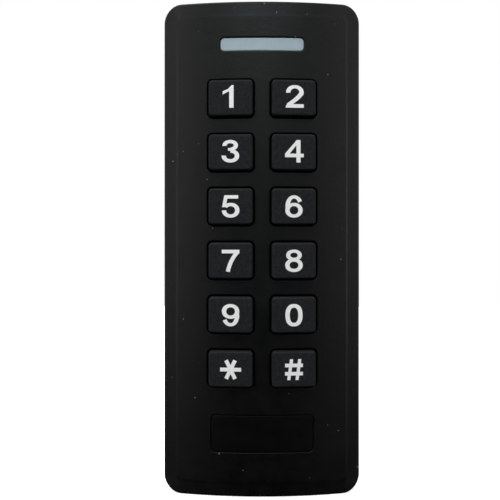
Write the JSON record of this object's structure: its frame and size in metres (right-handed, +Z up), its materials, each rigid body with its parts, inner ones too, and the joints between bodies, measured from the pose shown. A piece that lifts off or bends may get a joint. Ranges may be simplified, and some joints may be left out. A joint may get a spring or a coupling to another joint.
{
  "type": "rfid card reader",
  "caption": "Slim wall-mounted card reader with a crowned black front, a keypad with sprung keys, a light bar and a blank badge panel, hung on a steel wall plate.",
  "frame": {"origin": "centre of the wall plate's back face, which lies on the wall", "axes": "+Z up along the reader's length as installed, +Y into the wall, the front faces -Y, +X to the right as seen from the front"},
  "size_m": [0.05, 0.0237, 0.1244],
  "materials": {
    "case_black": "fine moulded texture, near-black",
    "key_black": "satin near-black with white printed digits",
    "frosted_lens": "frosted, pale blue-grey",
    "badge_black": "smooth black, blank",
    "grey_silicone": "matte silicone",
    "black_rubber": "matte",
    "carbon": "carbon-filled silicone",
    "white_plastic": "matte",
    "green_laminate": "green solder mask on glass epoxy",
    "chip_black": "moulded epoxy",
    "copper": "enamelled copper wire",
    "zinc_steel": "zinc-plated steel"
  },
  "bodies": {
    "case": {"antenna_coil": "copper", "badge_insert": "badge_black", "board_screw_bottom_left": "zinc_steel", "board_screw_bottom_right": "zinc_steel", "board_screw_top_left": "zinc_steel", "board_screw_top_right": "zinc_steel", "buzzer": "chip_black", "cable_grommet": "black_rubber", "case_gasket": "black_rubber", "case_screw_bottom_left": "zinc_steel", "case_screw_bottom_right": "zinc_steel", "case_screw_top_left": "zinc_steel", "case_screw_top_right": "zinc_steel", "clock_crystal": "zinc_steel", "filter_capacitor": "zinc_steel", "front_cover": "case_black", "key_backlight_1": "white_plastic", "key_backlight_2": "white_plastic", "key_backlight_3": "white_plastic", "keypad_membrane": "grey_silicone", "light_bar_lens": "frosted_lens", "light_bar_reflector": "white_plastic", "main_board": "green_laminate", "microcontroller": "chip_black", "rear_cover": "case_black", "rfid_chip": "chip_black", "security_screw": "zinc_steel", "status_led_1": "white_plastic", "status_led_2": "white_plastic", "status_led_3": "white_plastic", "tamper_photocell": "white_plastic", "voltage_regulator": "chip_black", "wall_plate": "zinc_steel", "wire_header": "white_plastic"},
    "key_1": {"keycap_1": "key_black", "contact_pill_1": "carbon"},
    "key_2": {"keycap_2": "key_black", "contact_pill_2": "carbon"},
    "key_3": {"keycap_3": "key_black", "contact_pill_3": "carbon"},
    "key_4": {"keycap_4": "key_black", "contact_pill_4": "carbon"},
    "key_5": {"keycap_5": "key_black", "contact_pill_5": "carbon"},
    "key_6": {"keycap_6": "key_black", "contact_pill_6": "carbon"},
    "key_7": {"keycap_7": "key_black", "contact_pill_7": "carbon"},
    "key_8": {"keycap_8": "key_black", "contact_pill_8": "carbon"},
    "key_9": {"keycap_9": "key_black", "contact_pill_9": "carbon"},
    "key_0": {"keycap_0": "key_black", "contact_pill_0": "carbon"},
    "key_star": {"keycap_star": "key_black", "contact_pill_star": "carbon"},
    "key_hash": {"keycap_hash": "key_black", "contact_pill_hash": "carbon"}
  },
  "joints": [
    {"name": "key_1_press", "type": "slide", "parent": "case", "child": "key_1", "axis": [0, 1, 0], "range_m": [0, 0.001], "stiffness_N_per_m": 300, "springref_m": -0.0005, "deforming": ["keypad_membrane"]},
    {"name": "key_2_press", "type": "slide", "parent": "case", "child": "key_2", "axis": [0, 1, 0], "range_m": [0, 0.001], "stiffness_N_per_m": 300, "springref_m": -0.0005, "deforming": ["keypad_membrane"]},
    {"name": "key_3_press", "type": "slide", "parent": "case", "child": "key_3", "axis": [0, 1, 0], "range_m": [0, 0.001], "stiffness_N_per_m": 300, "springref_m": -0.0005, "deforming": ["keypad_membrane"]},
    {"name": "key_4_press", "type": "slide", "parent": "case", "child": "key_4", "axis": [0, 1, 0], "range_m": [0, 0.001], "stiffness_N_per_m": 300, "springref_m": -0.0005, "deforming": ["keypad_membrane"]},
    {"name": "key_5_press", "type": "slide", "parent": "case", "child": "key_5", "axis": [0, 1, 0], "range_m": [0, 0.001], "stiffness_N_per_m": 300, "springref_m": -0.0005, "deforming": ["keypad_membrane"]},
    {"name": "key_6_press", "type": "slide", "parent": "case", "child": "key_6", "axis": [0, 1, 0], "range_m": [0, 0.001], "stiffness_N_per_m": 300, "springref_m": -0.0005, "deforming": ["keypad_membrane"]},
    {"name": "key_7_press", "type": "slide", "parent": "case", "child": "key_7", "axis": [0, 1, 0], "range_m": [0, 0.001], "stiffness_N_per_m": 300, "springref_m": -0.0005, "deforming": ["keypad_membrane"]},
    {"name": "key_8_press", "type": "slide", "parent": "case", "child": "key_8", "axis": [0, 1, 0], "range_m": [0, 0.001], "stiffness_N_per_m": 300, "springref_m": -0.0005, "deforming": ["keypad_membrane"]},
    {"name": "key_9_press", "type": "slide", "parent": "case", "child": "key_9", "axis": [0, 1, 0], "range_m": [0, 0.001], "stiffness_N_per_m": 300, "springref_m": -0.0005, "deforming": ["keypad_membrane"]},
    {"name": "key_0_press", "type": "slide", "parent": "case", "child": "key_0", "axis": [0, 1, 0], "range_m": [0, 0.001], "stiffness_N_per_m": 300, "springref_m": -0.0005, "deforming": ["keypad_membrane"]},
    {"name": "key_star_press", "type": "slide", "parent": "case", "child": "key_star", "axis": [0, 1, 0], "range_m": [0, 0.001], "stiffness_N_per_m": 300, "springref_m": -0.0005, "deforming": ["keypad_membrane"]},
    {"name": "key_hash_press", "type": "slide", "parent": "case", "child": "key_hash", "axis": [0, 1, 0], "range_m": [0, 0.001], "stiffness_N_per_m": 300, "springref_m": -0.0005, "deforming": ["keypad_membrane"]}
  ]
}
